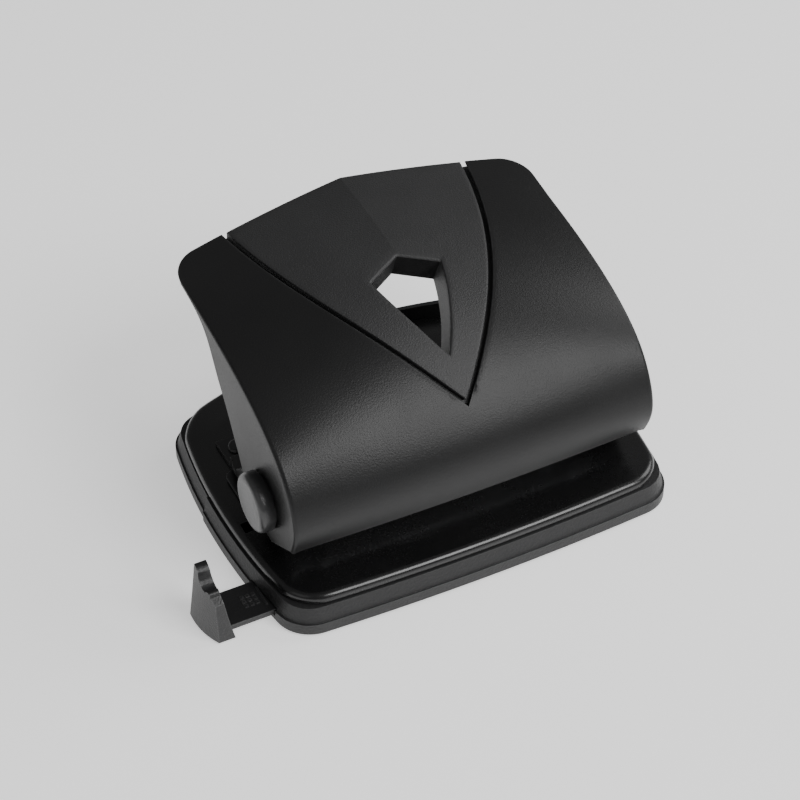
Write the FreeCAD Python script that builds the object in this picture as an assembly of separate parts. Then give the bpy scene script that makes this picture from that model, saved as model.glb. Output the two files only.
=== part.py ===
import FreeCAD, Part
import math
import os
from FreeCAD import Matrix, Vector

# A compact two-hole desk punch for 80 mm spaced holes. Millimetres, +X to the right, +Y to the rear,
# +Z up. The origin is on the surface it stands on, under the middle of the base. The pivot is near the
# front, paper goes in from the front, and pressing the rear of the handle drives the pins down.

# ---- base outline ----
BASE_WIDTH = 120.0          # between the corners, before the sides bow out
BASE_DEPTH = 88.0
SIDE_BOW = 4.3
FRONT_BOW = 2.1
REAR_BOW = 12.5
CORNER_RADIUS = 11.0

# ---- moulded frame and chip tray ----
FLOOR_GAP = 0.8             # the mouldings' underside stands this far above the table
MOULD_WALL = 2.0
MOULD_FLOOR = 1.6
RIM_STEP_HEIGHT = 4.4       # the rim's lower, straight part ends here
RIM_TOP = 9.2
RIM_STEP = 0.5
RIM_LEAN = 1.1
SEAM_Y = 10.5               # the frame ends and the chip tray begins
SEAM_GAP = 0.5
TRAY_INSET = 0.4            # the tray's rim stands in from the frame's rim
TONGUE_WIDTH = 17.0         # the tray reaches forward under each die by a tongue
TONGUE_FRONT_Y = -9.0
TONGUE_GAP = 0.4
TRAY_PIN_RADIUS = 1.0
TRAY_PIN_HEIGHT = 2.4
TRAY_LIP_HEIGHT = 16.0      # pull lip behind the plate
TRAY_LIP_HALF_WIDTH = 38.0
LIP_THICKNESS = 1.4
HINGE_EAR = 3.0             # each of the frame's ears that hold a tray hinge pin
LANE_WALL = 1.6             # walls of the paper guide's channel

# ---- screw bosses, non-slip mat and feet ----
LUG_PLACES = [(-46.0, -15.0), (46.0, -15.0), (-24.0, -15.0), (24.0, -15.0)]
BOSS_RADIUS = 3.6
BOSS_TOP = 8.0
SCREW_RADIUS = 1.4
SCREW_HEAD = 1.1            # how far the head stands out round the shank
SCREW_HEAD_HEIGHT = 1.2
LUG_HALF = 3.4
LUG_SHEET = 1.2
LUG_TAB = 5.2
MAT_THICKNESS = 1.4
MAT_HALF_WIDTH = 29.0
MAT_FRONT_Y = -40.0
MAT_REAR_Y = 5.0
FOOT_RADIUS = 5.0
FOOT_PLACES = [(-44.0, 38.0), (44.0, 38.0)]

# ---- steel base plate ----
PLATE_INSET = 2.3
PLATE_EDGE_Z = 9.6
PLATE_TOP = 13.0
PLATE_SHEET = 1.2
PLATE_ROUND = 1.9
BORDER_WIDTH = 7.0          # the soft sloping border round the flat top
BORDER_DROP = 0.8
CHIP_HOLE_MARGIN = 1.2      # the plate's hole stands this far outside the pin
NOTCH_X = (-59.5, -56.6)    # small notch beside the flange, on both sides
NOTCH_Y = (-10.5, -6.5)

# ---- paper slot and punch frame ----
HOLE_SPACING = 80.0
HOLE_DIAMETER = 5.5
EDGE_DISTANCE = 12.0        # hole centre to the paper's edge
PIN_Y = 1.0
DIE_THICKNESS = 1.2
DIE_HALF_LENGTH = 56.0
DIE_FRONT_Y = -9.0
SLOT_HEIGHT = 2.2
FRAME_SHEET = 1.5
FRAME_HALF_LENGTH = 54.0
FRAME_FRONT_Y = -9.0
FRAME_CORNER = 5.0
FOOT_LENGTH = 11.0
FOOT_HALF_WIDTH = 13.0
DIE_CLEARANCE = 0.05        # radial, pin in die and in bush
BUSH_FLANGE = 1.65          # how far the bush's flange and the pin's clip stand out round the pin
BUSH_HEIGHT = 2.4
BUSH_COLLAR = 0.8
RIVET_RADIUS = 1.7
RIVET_HEAD = 1.2            # how far the head stands out round the shank
RIVET_HEAD_HEIGHT = 1.1
RIVET_TAIL = 0.9
RIVET_TAIL_HEIGHT = 0.8
RIVET_OFFSET = 8.0          # from the pin's middle, to each side

# ---- pivot ----
PIVOT_Y = -17.0
PIVOT_Z = 29.7
SHAFT_RADIUS = 3.0
SHAFT_CLEARANCE = 0.06
EAR_RADIUS = 7.5
CAP_RADIUS = 8.7
CAP_THICKNESS = 5.0
CAP_ROUND = 1.8
SHAFT_IN_CAP = 2.4
CLIP_THICKNESS = 0.8

# ---- handle cover: profile stations from the rear top edge to the front lower edge, as (y, z) ----
COVER_HALF_WIDTH = 55.8
COVER_SHEET = 1.2
END_PROFILE = [(44.0, 68.2), (21.8, 65.7), (3.3, 62.6), (-12.5, 58.2), (-25.3, 51.8),
               (-33.4, 43.0), (-36.6, 32.5), (-33.6, 23.0)]
MID_PROFILE = [(50.0, 75.4), (30.2, 74.8), (11.6, 72.3), (-4.8, 67.6), (-18.4, 60.2),
               (-29.9, 50.2), (-37.4, 38.6), (-37.2, 25.6)]
CREASE = 0.7                # share of the crown that is a straight fall from the middle crease
CROWN_STATIONS = (0.0, 0.34, 0.67, 1.0)
TIP_STATION = 0.685         # the crease dies out here, at the insert's tip
COVER_CORNER = 7.5
FLANGE_SWEEP = 14.1         # the flange's lower end is an arc of this radius round the pivot
FLANGE_REAR_TOP_Y = 27.0
HEM_WIDTH = 3.4

# ---- insert and window, in a plane square to this tilt ----
INSERT_TILT = 25.0          # degrees, the cutting direction's lean to the front
TIP_ALONG = -3.2
INSERT_TOP_ALONG = 71.2
INSERT_TOP_HALF = 36.2
INSERT_MID_ALONG = 34.0
INSERT_MID_HALF = 24.3
GROOVE = 1.6
LIP_OVERLAP = 5.0
LIP_GAP = 0.15
LIP_SKIN = 1.4
STUD_RADIUS = 0.9
WINDOW_BOTTOM = 9.7
WINDOW_MID = (23.5, 6.5)
WINDOW_SHOULDER = (37.2, 10.8)
WINDOW_PEAK = 43.0
WINDOW_TIP_HALF = 0.6
COLLAR_DEPTH = 10.0
COLLAR_WALL = 1.6

# ---- pins and their drive ----
PIN_TRAVEL = 6.2
PIN_TIP_GAP = 0.3           # rest gap between the pin's tip and the slot's roof
PIN_CLIP_THICKNESS = 1.0
PIN_HEAD_ABOVE_CLIP = 1.0
NOSE_RADIUS = 1.6
NOSE_GAP = 0.35
ARM_THICKNESS = 3.0
HUB_RADIUS = 6.2
SPRING_WIRE = 1.0
SPRING_TURNS = 4.0
SPRING_GAP = 0.7            # radial, between the pin and the spring

# ---- paper guide ----
GUIDE_WIDTH = 12.6
GUIDE_THICKNESS = 1.8
GUIDE_FRONT_Y = -33.8
GUIDE_UNDER = 2.8           # the bar's underside above the table
GUIDE_CLEARANCE = 0.4
FIN_STANDOFF = 13.5         # the fin's inner face, out from the base's corners
FIN_FOOT = 8.5              # the fin's thickness at its foot
FIN_HEIGHT = 21.6
FIN_TOP_THICKNESS = 3.6
GUIDE_INNER_X = 42.0
MARK_SPACING = 24.0
MARK_HEIGHT = 0.25
DETENT_X = -20.0
LEAF_THICKNESS = 0.4
LEAF_HALF_LENGTH = 12.4
LEAF_TRAVEL = 0.9           # room behind the leaf

os.makedirs("parts", exist_ok=True)
PIN_XS = (-HOLE_SPACING / 2, HOLE_SPACING / 2)
PIN_RADIUS = HOLE_DIAMETER / 2
BUSH_RADIUS = PIN_RADIUS + BUSH_FLANGE
SPRING_RADIUS = PIN_RADIUS + SPRING_GAP + SPRING_WIRE / 2
DRIVE_ARM = PIN_Y - PIVOT_Y
FULL_ANGLE = PIN_TRAVEL / DRIVE_ARM
DIE_TOP = PLATE_TOP + DIE_THICKNESS
GUIDE_PLATE_Z = DIE_TOP + SLOT_HEIGHT
GUIDE_PLATE_TOP = GUIDE_PLATE_Z + FRAME_SHEET
STOP_Y = PIN_Y + EDGE_DISTANCE
RIVET_Y = STOP_Y + FRAME_SHEET + 0.55 * FOOT_LENGTH
PIN_TOP = PIVOT_Z + DRIVE_ARM * math.sin(FULL_ANGLE / 2)
PIN_TIP = GUIDE_PLATE_Z + PIN_TIP_GAP
CLIP_TOP = PIN_TOP - PIN_HEAD_ABOVE_CLIP
FIN_INNER_X = -(BASE_WIDTH / 2 + FIN_STANDOFF)
FIN_OUTER_X = FIN_INNER_X - FIN_FOOT
TRAY_PIN_Y = TONGUE_FRONT_Y + 1.6
TILT = math.radians(INSERT_TILT)
ALONG = Vector(0, math.cos(TILT), math.sin(TILT))
OUTWARD = Vector(0, -math.sin(TILT), math.cos(TILT))


def save(name, shape):
    """Writes one sub-part, after merging the faces that its booleans split."""
    merged = shape.removeSplitter()
    if merged.isValid():
        shape = merged
    shape.exportStep("parts/" + name + ".step")
    print(name, shape.isValid(), len(shape.Solids), round(shape.Volume, 1))


def box(x0, x1, y0, y1, z0, z1):
    return Part.makeBox(x1 - x0, y1 - y0, z1 - z0, Vector(x0, y0, z0))


def rod_z(x, y, z0, z1, radius):
    return Part.makeCylinder(radius, z1 - z0, Vector(x, y, z0))


def rod_x(x0, x1, y, z, radius):
    return Part.makeCylinder(radius, x1 - x0, Vector(x0, y, z), Vector(1, 0, 0))


def fused(shapes):
    return shapes[0].multiFuse(shapes[1:]) if len(shapes) > 1 else shapes[0]


def mirrored(shape):
    return shape.mirror(Vector(0, 0, 0), Vector(1, 0, 0))


def arc(a, b, c):
    return Part.Arc(Vector(*a), Vector(*b), Vector(*c)).toShape()


def vertical_edges(solid):
    return [e for e in solid.Edges if abs(abs(e.tangentAt(e.FirstParameter).z) - 1) < 1e-6]


# ---------------------------------------------------------------- base outline and mouldings

def outline_block(inset, z0, z1):
    """The base's bowed outline, drawn in by `inset`, as a block with rounded corners."""
    hw = BASE_WIDTH / 2 - inset
    hd = BASE_DEPTH / 2 - inset
    edges = [arc((-hw, -hd, z0), (0, -hd - FRONT_BOW, z0), (hw, -hd, z0)),
             arc((hw, -hd, z0), (hw + SIDE_BOW, 0, z0), (hw, hd, z0)),
             arc((hw, hd, z0), (0, hd + REAR_BOW, z0), (-hw, hd, z0)),
             arc((-hw, hd, z0), (-hw - SIDE_BOW, 0, z0), (-hw, -hd, z0))]
    block = Part.Face(Part.Wire(edges)).extrude(Vector(0, 0, z1 - z0))
    return block.makeFillet(max(CORNER_RADIUS - inset, 1.0), vertical_edges(block))


def outline_wire(inset, z):
    block = outline_block(inset, z, z + 1)
    return min(block.Faces, key=lambda f: f.CenterOfMass.z).OuterWire


def outline_loft(inset0, z0, inset1, z1):
    return Part.makeLoft([outline_wire(inset0, z0), outline_wire(inset1, z1)], True, True)


def rounded_block(inset, z0, z1, radius):
    """An outline block with its top edge rounded."""
    block = outline_block(inset, z0, z1)
    top = [e for e in block.Edges if all(abs(v.Z - z1) < 1e-6 for v in e.Vertexes)]
    return block.makeFillet(radius, top)


def rim_shell(inset):
    """The rim's wall on its floor: straight below, stepped in and leaning above."""
    lower = outline_block(inset, FLOOR_GAP, RIM_STEP_HEIGHT)
    upper = outline_loft(inset + RIM_STEP, RIM_STEP_HEIGHT, inset + RIM_LEAN + RIM_STEP, RIM_TOP)
    inner_inset = RIM_STEP + RIM_LEAN + MOULD_WALL
    hollow = outline_block(inner_inset, FLOOR_GAP + MOULD_FLOOR, RIM_TOP + 1)
    return lower.fuse(upper).cut(hollow)


def far(y0, y1):
    return box(-200, 200, y0, y1, -5, 100)


def guide_slot():
    """The paper guide's way through the frame, with clearance all round."""
    c = GUIDE_CLEARANCE
    return box(-200, 200, GUIDE_FRONT_Y - c, GUIDE_FRONT_Y + GUIDE_WIDTH + c,
               GUIDE_UNDER - c, GUIDE_UNDER + GUIDE_THICKNESS + c)


def tongue(x, gap):
    half = TONGUE_WIDTH / 2 + gap
    return box(x - half, x + half, TONGUE_FRONT_Y - gap, SEAM_Y + 5, -1, RIM_TOP + 2)


def hinge_x(x):
    """The tray hinge's barrel stations, one on each tongue's front end."""
    return (x - TONGUE_WIDTH / 2, x + TONGUE_WIDTH / 2)


def bottom_frame():
    body = rim_shell(0).common(far(-100, SEAM_Y))
    for x in PIN_XS:
        body = body.cut(tongue(x, TONGUE_GAP).cut(far(SEAM_Y, 100)))
    # ears for the tray's hinge pins
    for x in PIN_XS:
        x0, x1 = hinge_x(x)
        left, right = x0 - TONGUE_GAP, x1 + TONGUE_GAP
        for a, b in ((left - HINGE_EAR, left), (right, right + HINGE_EAR)):
            ear = box(a, b, TONGUE_FRONT_Y - 1.6, TONGUE_FRONT_Y + 4.8, FLOOR_GAP, TRAY_PIN_HEIGHT + 2.4)
            body = body.fuse(ear)
        pin = rod_x(x0 - HINGE_EAR, x1 + HINGE_EAR, TRAY_PIN_Y, TRAY_PIN_HEIGHT, TRAY_PIN_RADIUS)
        body = body.cut(pin)
    # walls of the guide's channel, either side of the bar
    wall = LANE_WALL
    c = GUIDE_CLEARANCE
    roof_z = GUIDE_UNDER + GUIDE_THICKNESS + c
    lane = box(-56, 56, GUIDE_FRONT_Y - c - wall, GUIDE_FRONT_Y + GUIDE_WIDTH + c + wall,
               FLOOR_GAP, roof_z + wall)
    window = box(-18, 18, GUIDE_FRONT_Y, GUIDE_FRONT_Y + GUIDE_WIDTH, roof_z - 0.1, roof_z + wall + 1)
    body = body.fuse(lane.common(outline_block(MOULD_WALL, FLOOR_GAP, RIM_TOP))).cut(window)
    # the channel runs out through the left rim and stops short of the right one
    right_end = box(BASE_WIDTH / 2 - 8, 200, -100, 0, -5, 100)
    body = body.cut(guide_slot().cut(right_end))
    for x, y in LUG_PLACES:
        body = body.fuse(rod_z(x, y, FLOOR_GAP, BOSS_TOP, BOSS_RADIUS))
        body = body.cut(rod_z(x, y, -1, BOSS_TOP + 1, SCREW_RADIUS))
        head_top = FLOOR_GAP + SCREW_HEAD_HEIGHT + 0.2
        body = body.cut(rod_z(x, y, -1, head_top, SCREW_RADIUS + SCREW_HEAD + 0.1))
    recess = box(-MAT_HALF_WIDTH, MAT_HALF_WIDTH, MAT_FRONT_Y, MAT_REAR_Y, -1, MAT_THICKNESS)
    pocket_y = GUIDE_FRONT_Y + GUIDE_WIDTH
    pocket = box(DETENT_X - LEAF_HALF_LENGTH, DETENT_X + LEAF_HALF_LENGTH, pocket_y,
                 pocket_y + c + LEAF_TRAVEL + LEAF_THICKNESS, GUIDE_UNDER - c, roof_z)
    return body.cut(recess).cut(pocket)


def non_slip_mat():
    mat = box(-MAT_HALF_WIDTH, MAT_HALF_WIDTH, MAT_FRONT_Y, MAT_REAR_Y, 0, MAT_THICKNESS)
    for x, y in LUG_PLACES:
        mat = mat.cut(rod_z(x, y, -1, 3, SCREW_RADIUS + 1.6))
    return mat


def chip_tray():
    body = rim_shell(TRAY_INSET).common(far(SEAM_Y + SEAM_GAP, 200))
    floor_z = FLOOR_GAP + MOULD_FLOOR
    for x in PIN_XS:
        x0, x1 = hinge_x(x)
        body = body.fuse(box(x0, x1, TRAY_PIN_Y, SEAM_Y + SEAM_GAP + 3, FLOOR_GAP, floor_z))
        body = body.fuse(rod_x(x0, x1, TRAY_PIN_Y, TRAY_PIN_HEIGHT, TRAY_PIN_HEIGHT - FLOOR_GAP))
        for side in (x0, x1 - 1.2):
            body = body.fuse(box(side, side + 1.2, TONGUE_FRONT_Y + 3.4, SEAM_Y + SEAM_GAP + 3,
                                 FLOOR_GAP, RIM_TOP - 2.0))
        body = body.cut(rod_x(x0 - 1, x1 + 1, TRAY_PIN_Y, TRAY_PIN_HEIGHT,
                              TRAY_PIN_RADIUS + SHAFT_CLEARANCE))
    # front wall of the tray between the tongues
    inner = outline_block(RIM_STEP + RIM_LEAN + MOULD_WALL, FLOOR_GAP, RIM_TOP - 2.0)
    front = box(-100, 100, SEAM_Y + SEAM_GAP, SEAM_Y + SEAM_GAP + 1.6, FLOOR_GAP, RIM_TOP - 2.0)
    front = front.common(inner)
    for x in PIN_XS:
        front = front.cut(box(x - TONGUE_WIDTH / 2 + 1, x + TONGUE_WIDTH / 2 - 1, 0, 50, floor_z, 50))
    body = body.fuse(front)
    # pull lip that rises behind the plate, along the bowed rear edge
    lip_outer = outline_block(TRAY_INSET + 0.1, RIM_STEP_HEIGHT, TRAY_LIP_HEIGHT)
    lip_inner = outline_block(TRAY_INSET + 0.1 + LIP_THICKNESS, RIM_STEP_HEIGHT - 1,
                              TRAY_LIP_HEIGHT + 1)
    lip = lip_outer.cut(lip_inner).common(box(-TRAY_LIP_HALF_WIDTH, TRAY_LIP_HALF_WIDTH, 20, 200,
                                              RIM_STEP_HEIGHT - 1, TRAY_LIP_HEIGHT + 1))
    body = body.fuse(lip)
    for x, y in FOOT_PLACES:
        body = body.cut(rod_z(x, y, -1, MAT_THICKNESS, FOOT_RADIUS))
    return body


def tray_feet():
    return fused([rod_z(x, y, 0, MAT_THICKNESS, FOOT_RADIUS) for x, y in FOOT_PLACES])


def tray_hinge_pins():
    pins = []
    for x in PIN_XS:
        x0, x1 = hinge_x(x)
        pins.append(rod_x(x0 - HINGE_EAR, x1 + HINGE_EAR, TRAY_PIN_Y, TRAY_PIN_HEIGHT, TRAY_PIN_RADIUS))
    return fused(pins)


# ---------------------------------------------------------------- steel base

def plate_skin(inset, drop):
    """The plate's outer form, or its inner form when drawn in and dropped by the sheet."""
    shoulder = PLATE_TOP - BORDER_DROP - drop
    block = rounded_block(PLATE_INSET + inset, PLATE_EDGE_Z - 0.01 * drop, shoulder,
                          PLATE_ROUND - 0.5 * inset)
    start = PLATE_INSET + PLATE_ROUND
    crown = outline_loft(start, shoulder - 0.05, start + BORDER_WIDTH, PLATE_TOP - drop)
    return block.fuse(crown)


def base_plate():
    plate = plate_skin(0, 0).cut(plate_skin(PLATE_SHEET, PLATE_SHEET))
    for x in PIN_XS:
        plate = plate.cut(rod_z(x, PIN_Y, 0, 20, PIN_RADIUS + CHIP_HOLE_MARGIN))
        for dx in (-RIVET_OFFSET, RIVET_OFFSET):
            plate = plate.cut(rod_z(x + dx, RIVET_Y, 0, 20, RIVET_RADIUS))
    notch = box(*NOTCH_X, *NOTCH_Y, 0, 20)
    return plate.cut(notch).cut(mirrored(notch))


def die_plate():
    strip = box(-DIE_HALF_LENGTH, DIE_HALF_LENGTH, DIE_FRONT_Y, STOP_Y, PLATE_TOP, DIE_TOP)
    strip = strip.makeFillet(3.0, vertical_edges(strip))
    for x in PIN_XS:
        strip = strip.cut(rod_z(x, PIN_Y, 0, 20, PIN_RADIUS + DIE_CLEARANCE))
    return strip


def punch_frame():
    length = FRAME_HALF_LENGTH
    sheet = FRAME_SHEET
    deck = box(-length, length, FRAME_FRONT_Y, STOP_Y + sheet, GUIDE_PLATE_Z, GUIDE_PLATE_TOP)
    deck = deck.makeFillet(FRAME_CORNER, vertical_edges(deck))
    parts = [deck]
    for x in PIN_XS:
        x0, x1 = x - FOOT_HALF_WIDTH, x + FOOT_HALF_WIDTH
        parts.append(box(x0, x1, STOP_Y, STOP_Y + sheet, PLATE_TOP, GUIDE_PLATE_TOP))
        parts.append(box(x0, x1, STOP_Y, STOP_Y + sheet + FOOT_LENGTH, PLATE_TOP, PLATE_TOP + sheet))
    # end ears that carry the shaft, leaning back to the rear corners of the deck
    for side in (-1, 1):
        x0 = -length if side < 0 else length - sheet
        leaf = [Vector(x0, FRAME_FRONT_Y + 1.0, GUIDE_PLATE_Z),
                Vector(x0, STOP_Y - FRAME_CORNER, GUIDE_PLATE_Z),
                Vector(x0, STOP_Y - FRAME_CORNER, GUIDE_PLATE_TOP + 1.0),
                Vector(x0, PIVOT_Y + 4.0, PIVOT_Z + EAR_RADIUS - 1.2),
                Vector(x0, PIVOT_Y, PIVOT_Z),
                Vector(x0, PIVOT_Y - 2.0, PIVOT_Z - EAR_RADIUS + 0.4)]
        ear = Part.Face(Part.makePolygon(leaf + [leaf[0]])).extrude(Vector(sheet, 0, 0))
        ear = ear.fuse(rod_x(x0, x0 + sheet, PIVOT_Y, PIVOT_Z, EAR_RADIUS))
        parts.append(ear)
    frame = fused(parts)
    frame = frame.cut(rod_x(-100, 100, PIVOT_Y, PIVOT_Z, SHAFT_RADIUS + SHAFT_CLEARANCE))
    for x in PIN_XS:
        frame = frame.cut(rod_z(x, PIN_Y, GUIDE_PLATE_Z - 1, GUIDE_PLATE_TOP + 1, BUSH_RADIUS - BUSH_COLLAR))
        for dx in (-RIVET_OFFSET, RIVET_OFFSET):
            frame = frame.cut(rod_z(x + dx, RIVET_Y, 0, 20, RIVET_RADIUS))
    return frame


def frame_rivets():
    rivets = []
    for x in PIN_XS:
        for dx in (-RIVET_OFFSET, RIVET_OFFSET):
            cx = x + dx
            top = PLATE_TOP + FRAME_SHEET
            low = PLATE_TOP - PLATE_SHEET
            high = top + RIVET_HEAD_HEIGHT
            shank = rod_z(cx, RIVET_Y, low - RIVET_TAIL_HEIGHT, top, RIVET_RADIUS)
            head = rod_z(cx, RIVET_Y, top, high, RIVET_RADIUS + RIVET_HEAD)
            head = head.makeFillet(0.8, [e for e in head.Edges if e.BoundBox.ZMin > high - 0.1])
            tail = rod_z(cx, RIVET_Y, low - RIVET_TAIL_HEIGHT, low, RIVET_RADIUS + RIVET_TAIL)
            rivets.append(fused([shank, head, tail]))
    return Part.makeCompound(rivets)


def pin_bush(x):
    """Shouldered bush pressed into the deck from above: it guides the pin and seats the spring."""
    body = rod_z(x, PIN_Y, GUIDE_PLATE_Z, GUIDE_PLATE_TOP, BUSH_RADIUS - BUSH_COLLAR)
    collar = rod_z(x, PIN_Y, GUIDE_PLATE_TOP, GUIDE_PLATE_TOP + BUSH_COLLAR, BUSH_RADIUS)
    neck = rod_z(x, PIN_Y, GUIDE_PLATE_TOP, GUIDE_PLATE_TOP + BUSH_HEIGHT, PIN_RADIUS + 0.5)
    return fused([body, collar, neck]).cut(rod_z(x, PIN_Y, 0, 40, PIN_RADIUS + DIE_CLEARANCE))


def plate_lugs():
    lugs = []
    for x, y in LUG_PLACES:
        ceiling = PLATE_TOP - PLATE_SHEET
        x0, x1 = x - LUG_HALF, x + LUG_HALF
        bend = y + LUG_HALF - LUG_SHEET
        foot = box(x0, x1, y - LUG_HALF, y + LUG_HALF, BOSS_TOP, BOSS_TOP + LUG_SHEET)
        web = box(x0, x1, bend, y + LUG_HALF, BOSS_TOP, ceiling)
        top = box(x0, x1, bend, bend + LUG_TAB, ceiling - LUG_SHEET, ceiling)
        lugs.append(fused([foot, web, top]).cut(rod_z(x, y, 0, 20, SCREW_RADIUS)))
    return Part.makeCompound(lugs)


def frame_screws():
    screws = []
    for x, y in LUG_PLACES:
        head_top = FLOOR_GAP + SCREW_HEAD_HEIGHT + 0.2
        head = rod_z(x, y, FLOOR_GAP + 0.2, head_top, SCREW_RADIUS + SCREW_HEAD)
        shank = rod_z(x, y, head_top, BOSS_TOP + LUG_SHEET + 1.0, SCREW_RADIUS)
        slot = box(x - 2.0, x + 2.0, y - 0.3, y + 0.3, FLOOR_GAP, FLOOR_GAP + 0.8)
        screws.append(head.fuse(shank).cut(slot))
    return Part.makeCompound(screws)


# ---------------------------------------------------------------- handle cover surface

def crown_share(station, x):
    """How much of the middle profile is felt at x: 1 at the middle, 0 at the cover's ends."""
    u = abs(x) / COVER_HALF_WIDTH
    crease = CREASE * max(0.0, 1 - station / TIP_STATION)
    return 1 - (crease * u + (1 - crease) * u * u)


def profile(x, depth=0.0, run_on=0.0):
    """The cover's outer line at x, moved inward by `depth`, as a curve and its points from the top down.

    `run_on` carries the line straight on past both edges, for layers that only cut."""
    count = len(END_PROFILE)
    points = []
    for i, (end, mid) in enumerate(zip(END_PROFILE, MID_PROFILE)):
        g = crown_share(i / (count - 1), x)
        points.append(Vector(x, end[0] + (mid[0] - end[0]) * g, end[1] + (mid[1] - end[1]) * g))
    if run_on:
        ahead = (points[0] - points[1]).normalize() * run_on
        below = (points[-1] - points[-2]).normalize() * run_on
        points = [points[0] + ahead] + points + [points[-1] + below]
    line = Part.BSplineCurve()
    line.interpolate(points)
    if not depth:
        return line, points
    moved = []
    for p in points:
        t = line.tangent(line.parameter(p))[0]
        moved.append(p + Vector(0, -t.z, t.y) * depth)
    inner = Part.BSplineCurve()
    inner.interpolate(moved)
    return inner, moved


def skin_section(x, outer, inner, run_on):
    a, pa = profile(x, outer, run_on)
    b, pb = profile(x, inner, run_on)
    edges = [a.toShape(), Part.makeLine(pa[-1], pb[-1]), b.toShape(), Part.makeLine(pb[0], pa[0])]
    return Part.Wire(Part.__sortEdges__(edges))


def skin(outer, inner, run_on=0.0):
    """A layer of the cover's crowned form between two depths, across its whole width."""
    wires = [skin_section(COVER_HALF_WIDTH * s, outer, inner, run_on) for s in CROWN_STATIONS]
    half = Part.makeLoft(wires, True, False)
    return half.fuse(mirrored(half))


def tilted(x, along):
    return Vector(x, 0, 0) + ALONG * along + OUTWARD * -60


def tilted_block(edges):
    return Part.Face(Part.Wire(edges)).extrude(OUTWARD * 220)


def insert_block(grow):
    """The V outline, let out by `grow`, as a prism through the cover; its sides run on past the top."""
    top = INSERT_TOP_ALONG + 12
    flare = INSERT_TOP_HALF + 2.4 + grow
    mid = INSERT_MID_HALF + 0.9 * grow
    tip = TIP_ALONG - 1.25 * grow
    edges = []
    for side in (1, -1):
        edges.append(Part.Arc(tilted(0, tip), tilted(side * mid, INSERT_MID_ALONG),
                              tilted(side * flare, top)).toShape())
    edges.append(Part.makeLine(tilted(-flare, top), tilted(flare, top)))
    return tilted_block(Part.__sortEdges__(edges))


def window_block(grow):
    """The five-sided window, let out by `grow`, with a peaked top and bowed sides."""
    low = WINDOW_BOTTOM - 1.4 * grow
    half = WINDOW_TIP_HALF + 0.3 * grow
    shoulder_along, shoulder_half = WINDOW_SHOULDER[0] + 0.6 * grow, WINDOW_SHOULDER[1] + 1.1 * grow
    mid_half = WINDOW_MID[1] + 0.9 * grow
    peak = WINDOW_PEAK + grow
    edges = [Part.makeLine(tilted(-half, low), tilted(half, low))]
    for side in (1, -1):
        edges.append(Part.Arc(tilted(side * half, low), tilted(side * mid_half, WINDOW_MID[0]),
                              tilted(side * shoulder_half, shoulder_along)).toShape())
        edges.append(Part.makeLine(tilted(side * shoulder_half, shoulder_along), tilted(0, peak)))
    return tilted_block(Part.__sortEdges__(edges))


def corner_cutter():
    """Rounds the cover's two rear corners, seen from above."""
    cutters = []
    r = COVER_CORNER
    y_end = profile(COVER_HALF_WIDTH - r)[1][0].y
    for side in (-1, 1):
        cx = side * (COVER_HALF_WIDTH - r)
        block = box(min(cx, side * 90), max(cx, side * 90), y_end - r, y_end + 40, 40, 100)
        keep = rod_z(cx, y_end - r, 30, 110, r)
        sheet = box(min(0, cx), max(0, cx), y_end - r, y_end + 40, 30, 110)
        cutters.append(block.cut(keep).cut(sheet))
    return fused(cutters)


def end_flange(side):
    """Side wall at one end: it follows the cover's profile down and ends in an arc round the pivot."""
    x0 = COVER_HALF_WIDTH - COVER_SHEET
    points = [Vector(x0, p.y, p.z) for p in profile(COVER_HALF_WIDTH, 0.2)[1]]
    front = Part.BSplineCurve()
    front.interpolate(points)
    top, bottom = points[0], points[-1]
    r = FLANGE_SWEEP
    low = Vector(x0, PIVOT_Y - 0.22 * r, PIVOT_Z - 0.975 * r)
    under = Vector(x0, PIVOT_Y + 0.7071 * r, PIVOT_Z - 0.7071 * r)
    back = Vector(x0, PIVOT_Y + r, PIVOT_Z)
    knee = Vector(x0, FLANGE_REAR_TOP_Y - 4.6, 64.0)
    bow = Vector(x0, PIVOT_Y + r + 10.6, PIVOT_Z + 15.0)
    rear = Part.BSplineCurve()
    rear.interpolate([back, bow, knee])
    edges = [front.toShape(), Part.makeLine(bottom, low), Part.Arc(low, under, back).toShape(),
             rear.toShape(), Part.makeLine(knee, top)]
    wall = Part.Face(Part.Wire(edges)).extrude(Vector(COVER_SHEET, 0, 0))
    return wall if side > 0 else mirrored(wall)


def lower_lip():
    """Return lip of the cover's lower front edge, folded in under the sheet."""
    wires = []
    for s in CROWN_STATIONS:
        line, points = profile(COVER_HALF_WIDTH * s)
        down = line.tangent(line.LastParameter)[0]
        inward = Vector(0, -down.z, down.y)
        a = points[-1] - down * COVER_SHEET
        corners = [a, points[-1], points[-1] + inward * HEM_WIDTH, a + inward * HEM_WIDTH]
        wires.append(Part.makePolygon(corners + [a]))
    half = Part.makeLoft(wires, True, False)
    return half.fuse(mirrored(half))


def handle_cover():
    cover = skin(0, COVER_SHEET).cut(insert_block(GROOVE))
    cover = cover.fuse(lower_lip()).fuse(end_flange(1)).fuse(end_flange(-1))
    cover = cover.cut(corner_cutter())
    return cover.cut(rod_x(-100, 100, PIVOT_Y, PIVOT_Z, SHAFT_RADIUS))


def stud_places():
    """Four weld studs beside the V, two on each side, as (x, distance along the tilted plane)."""
    places = []
    for along, share in ((16.0, 0.52), (50.0, 1.27)):
        for side in (-1, 1):
            places.append((side * (INSERT_MID_HALF * share + GROOVE + LIP_OVERLAP / 2 + 0.4), along))
    return places


def tilted_rod(x, along, radius):
    return Part.makeCylinder(radius, 220, tilted(x, along), OUTWARD)


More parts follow.
